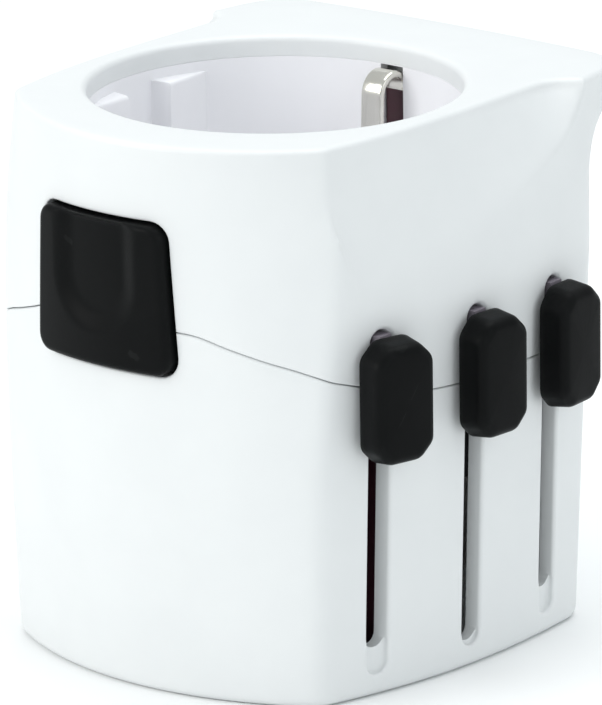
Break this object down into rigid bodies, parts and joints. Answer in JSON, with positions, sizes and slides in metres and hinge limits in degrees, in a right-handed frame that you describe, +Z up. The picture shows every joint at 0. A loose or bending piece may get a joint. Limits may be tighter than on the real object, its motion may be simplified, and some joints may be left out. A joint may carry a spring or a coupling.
{
  "type": "universal travel adapter",
  "caption": "Travel adapter block with a recessed round earthed socket on top, a release button in front and three side knobs that push plug pins out of the base.",
  "frame": {"origin": "on the base plane, under the socket's axis", "axes": "+Z up out of the socket, -Y towards the release button, +X towards the slider knobs"},
  "size_m": [0.0567, 0.0593, 0.0596],
  "materials": {
    "housing_white": "moulded, satin gloss",
    "socket_white": "moulded, satin gloss",
    "base_white": "fine spark texture",
    "black_plastic": "satin, fine texture",
    "carriage_grey": "moulded",
    "maroon_plastic": "moulded",
    "nickel_strip": "nickel plated",
    "nickel_pin": "nickel plated, turned",
    "brass_strip": "stamped",
    "steel": "zinc plated",
    "fuse_ceramic": "glazed"
  },
  "bodies": {
    "housing": {"upper_housing": "housing_white", "lower_housing": "housing_white", "base_plate": "base_white", "base_screws": "steel", "guide_rods": "steel", "insulating_partition": "maroon_plastic", "socket_insert": "socket_white", "earth_clip_front": "nickel_strip", "earth_clip_rear": "nickel_strip", "earth_bridge": "brass_strip", "line_contact": "brass_strip", "neutral_contact": "brass_strip", "fuse_tube": "fuse_ceramic", "fuse_caps": "nickel_strip", "fuse_clips": "brass_strip", "lock_spring": "steel"},
    "release_button": {"release_button": "black_plastic"},
    "lock_bar": {"lock_bar": "carriage_grey"},
    "euro_carriage": {"euro_carriage": "carriage_grey", "euro_pins": "nickel_pin", "euro_pin_sleeves": "black_plastic", "euro_knob": "black_plastic"},
    "us_carriage": {"us_carriage": "carriage_grey", "us_knob": "black_plastic"},
    "us_blade_left": {"us_blade_left": "nickel_pin"},
    "us_blade_right": {"us_blade_right": "nickel_pin"},
    "uk_carriage": {"uk_carriage": "carriage_grey", "uk_live_pins": "nickel_pin", "uk_pin_sleeves": "black_plastic", "uk_earth_pin": "nickel_pin", "uk_knob": "black_plastic"}
  },
  "joints": [
    {"name": "button_press", "type": "slide", "parent": "housing", "child": "release_button", "axis": [0, 1, 0], "range_m": [0, 0.0016], "stiffness_N_per_m": 900, "springref_m": -0.001},
    {"name": "lock_slide", "type": "slide", "parent": "housing", "child": "lock_bar", "axis": [0, 1, 0], "range_m": [0, 0.0016], "stiffness_N_per_m": 300, "springref_m": -0.001, "deforming": ["lock_spring"]},
    {"name": "euro_slide", "type": "slide", "parent": "housing", "child": "euro_carriage", "axis": [0, 0, -1], "range_m": [0, 0.0225]},
    {"name": "us_slide", "type": "slide", "parent": "housing", "child": "us_carriage", "axis": [0, 0, -1], "range_m": [0, 0.0225]},
    {"name": "uk_slide", "type": "slide", "parent": "housing", "child": "uk_carriage", "axis": [0, 0, -1], "range_m": [0, 0.0225]},
    {"name": "us_blade_left_twist", "type": "hinge", "parent": "us_carriage", "child": "us_blade_left", "pos_m": [-0.00635, 0.0064, 0.02], "axis": [0, 0, 1], "range_deg": [-30, 0]},
    {"name": "us_blade_right_twist", "type": "hinge", "parent": "us_carriage", "child": "us_blade_right", "pos_m": [0.00635, 0.0064, 0.02], "axis": [0, 0, 1], "range_deg": [0, 30]}
  ],
  "couplings": [
    {"joint": "lock_slide", "follows": "button_press", "ratio": 1}
  ]
}
